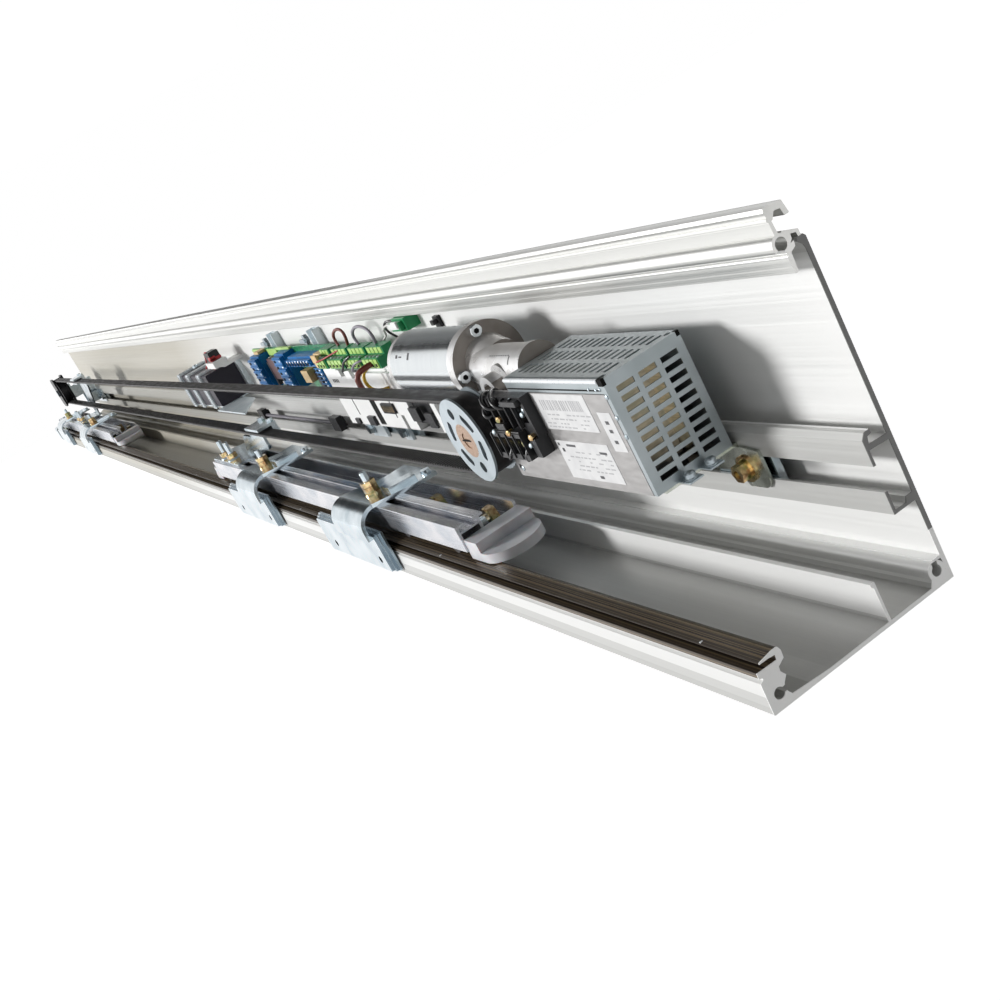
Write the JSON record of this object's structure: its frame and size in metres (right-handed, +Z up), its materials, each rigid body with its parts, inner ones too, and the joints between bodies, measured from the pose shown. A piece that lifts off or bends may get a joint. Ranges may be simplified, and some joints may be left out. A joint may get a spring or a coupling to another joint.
{
  "type": "sliding door operator",
  "caption": "Wall header with rail, belt drive, gear motor, supply box, controls and two roller carriages that slide a pair of door leaves apart and together.",
  "frame": {"origin": "bottom centre of the face that lies against the wall, halfway along the header", "axes": "+X along the header towards its drive end, +Y into the wall, +Z up"},
  "size_m": [2.98, 0.135, 0.2153],
  "materials": {
    "black_plastic": "matte",
    "black_rubber": "matte",
    "blue_plastic": "moulded",
    "brass_plate": "plated",
    "bright_steel": "ground",
    "bronze": "sintered",
    "cable_jacket": "extruded",
    "cast_alloy": "die cast",
    "green_plastic": "moulded",
    "painted_sheet": "satin",
    "pale_aluminium": "satin anodised",
    "pale_plastic": "translucent",
    "tan_plastic": "moulded",
    "trim_aluminium": "satin anodised",
    "wheel_plastic": "moulded",
    "white_plastic": "satin",
    "zinc_plate": "zinc plated"
  },
  "bodies": {
    "header": {"battery_frame": "zinc_plate", "battery_pack": "black_plastic", "battery_tag": "pale_plastic", "black_fittings": "black_plastic", "box_cover": "painted_sheet", "box_front": "painted_sheet", "bracket_bolt": "brass_plate", "control_wires": "cable_jacket", "controller_case": "white_plastic", "controller_plugs": "black_plastic", "cover_hinge": "trim_aluminium", "drive_bracket": "zinc_plate", "end_stop": "zinc_plate", "flange_screws": "zinc_plate", "gearbox_housing": "cast_alloy", "green_plugs": "green_plastic", "header_extrusion": "pale_aluminium", "motor_can": "bright_steel", "motor_ends": "bright_steel", "relay_blocks": "blue_plastic", "relay_board": "green_plastic", "slot_bolts": "zinc_plate", "slot_cable": "cable_jacket", "slot_nuts": "zinc_plate", "small_parts": "tan_plastic", "strip_knobs": "pale_plastic", "supply_bracket": "zinc_plate", "supply_core": "zinc_plate", "tensioner_foot": "zinc_plate", "tensioner_fork": "black_plastic", "tensioner_screws": "zinc_plate", "terminal_block": "black_plastic", "toothed_belt": "black_rubber", "wall_clips": "zinc_plate"},
    "near_carriage": {"near_bar": "pale_aluminium", "near_bumpers": "pale_plastic", "near_hangers": "zinc_plate", "near_fixings": "zinc_plate", "near_brass_nuts": "brass_plate", "near_belt_clamp": "zinc_plate"},
    "far_carriage": {"far_bar": "pale_aluminium", "far_bumpers": "pale_plastic", "far_hangers": "zinc_plate", "far_fixings": "zinc_plate", "far_brass_nuts": "brass_plate", "far_belt_clamp": "zinc_plate"},
    "drive_pulley": {"drive_pulley": "black_plastic", "pulley_flanges": "bright_steel", "pulley_hub": "bronze", "output_shaft": "bright_steel"},
    "idler_pulley": {"idler_pulley": "bright_steel"},
    "near_wheel_1": {"near_wheel_1": "wheel_plastic"},
    "near_wheel_2": {"near_wheel_2": "wheel_plastic"},
    "near_wheel_3": {"near_wheel_3": "wheel_plastic"},
    "near_wheel_4": {"near_wheel_4": "wheel_plastic"},
    "far_wheel_1": {"far_wheel_1": "wheel_plastic"},
    "far_wheel_2": {"far_wheel_2": "wheel_plastic"},
    "far_wheel_3": {"far_wheel_3": "wheel_plastic"},
    "far_wheel_4": {"far_wheel_4": "wheel_plastic"}
  },
  "joints": [
    {"name": "door_slide", "type": "slide", "parent": "header", "child": "near_carriage", "axis": [-1, 0, 0], "range_m": [0, 0.36]},
    {"name": "far_door_slide", "type": "slide", "parent": "header", "child": "far_carriage", "axis": [1, 0, 0], "range_m": [0, 0.36]},
    {"name": "drive_spin", "type": "hinge", "parent": "header", "child": "drive_pulley", "pos_m": [1.172, -0.081, 0.1175], "axis": [0, 1, 0], "continuous": true},
    {"name": "idler_spin", "type": "hinge", "parent": "header", "child": "idler_pulley", "pos_m": [-1.258, -0.081, 0.1175], "axis": [0, 1, 0], "continuous": true},
    {"name": "near_wheel_1_spin", "type": "hinge", "parent": "near_carriage", "child": "near_wheel_1", "pos_m": [1.096, -0.109, 0.0388], "axis": [0, 1, 0], "continuous": true},
    {"name": "near_wheel_2_spin", "type": "hinge", "parent": "near_carriage", "child": "near_wheel_2", "pos_m": [0.99, -0.109, 0.0388], "axis": [0, 1, 0], "continuous": true},
    {"name": "near_wheel_3_spin", "type": "hinge", "parent": "near_carriage", "child": "near_wheel_3", "pos_m": [0.459, -0.109, 0.0388], "axis": [0, 1, 0], "continuous": true},
    {"name": "near_wheel_4_spin", "type": "hinge", "parent": "near_carriage", "child": "near_wheel_4", "pos_m": [0.353, -0.109, 0.0388], "axis": [0, 1, 0], "continuous": true},
    {"name": "far_wheel_1_spin", "type": "hinge", "parent": "far_carriage", "child": "far_wheel_1", "pos_m": [-0.591, -0.109, 0.0388], "axis": [0, 1, 0], "continuous": true},
    {"name": "far_wheel_2_spin", "type": "hinge", "parent": "far_carriage", "child": "far_wheel_2", "pos_m": [-0.697, -0.109, 0.0388], "axis": [0, 1, 0], "continuous": true},
    {"name": "far_wheel_3_spin", "type": "hinge", "parent": "far_carriage", "child": "far_wheel_3", "pos_m": [-1.228, -0.109, 0.0388], "axis": [0, 1, 0], "continuous": true},
    {"name": "far_wheel_4_spin", "type": "hinge", "parent": "far_carriage", "child": "far_wheel_4", "pos_m": [-1.334, -0.109, 0.0388], "axis": [0, 1, 0], "continuous": true}
  ],
  "couplings": [
    {"joint": "far_door_slide", "follows": "door_slide", "ratio": 1},
    {"joint": "drive_spin", "follows": "door_slide", "rad_per_m": 35.904},
    {"joint": "idler_spin", "follows": "door_slide", "rad_per_m": 35.904},
    {"joint": "near_wheel_1_spin", "follows": "door_slide", "rad_per_m": -113.64},
    {"joint": "near_wheel_2_spin", "follows": "door_slide", "rad_per_m": -113.64},
    {"joint": "near_wheel_3_spin", "follows": "door_slide", "rad_per_m": -113.64},
    {"joint": "near_wheel_4_spin", "follows": "door_slide", "rad_per_m": -113.64},
    {"joint": "far_wheel_1_spin", "follows": "door_slide", "rad_per_m": 113.64},
    {"joint": "far_wheel_2_spin", "follows": "door_slide", "rad_per_m": 113.64},
    {"joint": "far_wheel_3_spin", "follows": "door_slide", "rad_per_m": 113.64},
    {"joint": "far_wheel_4_spin", "follows": "door_slide", "rad_per_m": 113.64}
  ]
}
